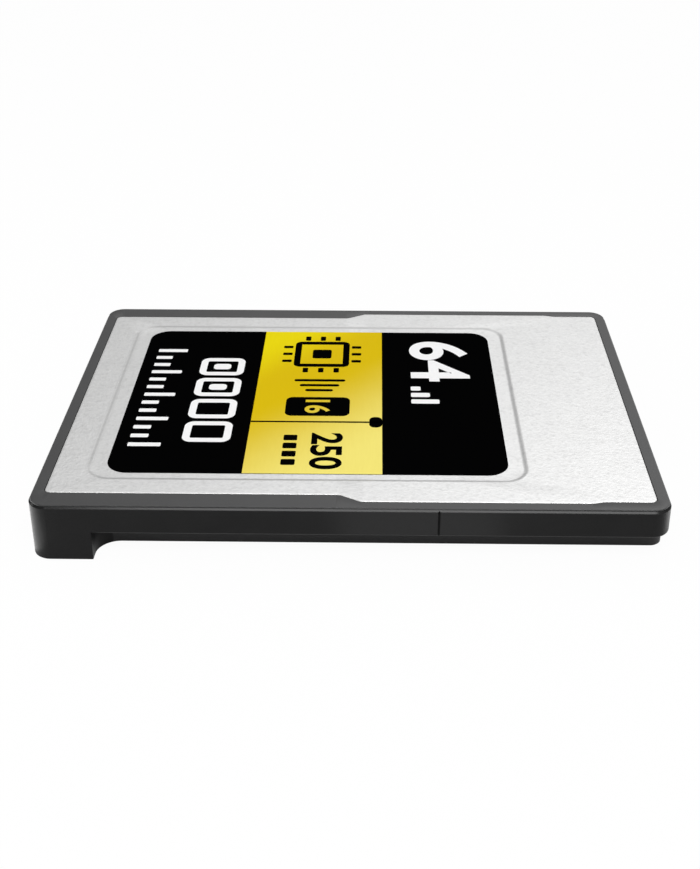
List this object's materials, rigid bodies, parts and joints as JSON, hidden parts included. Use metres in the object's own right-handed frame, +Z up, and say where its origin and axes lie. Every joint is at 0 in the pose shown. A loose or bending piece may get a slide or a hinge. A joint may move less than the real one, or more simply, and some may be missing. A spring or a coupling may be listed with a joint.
{
  "type": "memory card",
  "caption": "Thin removable memory card with a metal top cover, a printed label, overhanging side rails, a full-height grip block and a comb of recessed contacts.",
  "frame": {"origin": "centre of the card's lower face, which it lies on", "axes": "+X from the grip end to the insertion end with the contacts, +Y across the card to the far rail, +Z up to the metal top cover"},
  "size_m": [0.028, 0.02, 0.0028],
  "materials": {
    "frame_plastic": "fine satin moulding",
    "bezel_plastic": "fine satin moulding",
    "cover_metal": "bead blasted, bright",
    "bottom_metal": "bead blasted",
    "label_film": "black print and gold foil under clear film",
    "adhesive": "double-sided adhesive",
    "insulation": "thin amber film",
    "board_resin": "glass-fibre board with solder mask",
    "contact_gold": "hard gold plating",
    "chip_resin": "moulded epoxy",
    "heat_pad": "soft filled silicone",
    "can_metal": "plated lid",
    "capacitor_ceramic": "fired ceramic with tinned ends",
    "resistor_ceramic": "dark glazed ceramic with tinned ends"
  },
  "bodies": {
    "root": {"lower_frame": "frame_plastic", "upper_frame": "bezel_plastic", "top_cover": "cover_metal", "bottom_cover": "bottom_metal", "label": "label_film", "bottom_cover_adhesive": "adhesive", "insulating_film": "insulation", "circuit_board": "board_resin", "front_contacts": "contact_gold", "rear_contacts": "contact_gold", "flash_package": "chip_resin", "controller_chip": "chip_resin", "flash_heat_pad": "heat_pad", "controller_heat_pad": "heat_pad", "power_chip": "chip_resin", "crystal_can": "can_metal", "startup_memory": "chip_resin", "voltage_regulator": "chip_resin", "power_inductors": "resistor_ceramic", "bulk_capacitors": "capacitor_ceramic", "resistors": "resistor_ceramic", "coupling_capacitors": "capacitor_ceramic", "surge_protection": "resistor_ceramic", "decoupling_capacitors": "capacitor_ceramic"}
  },
  "joints": []
}
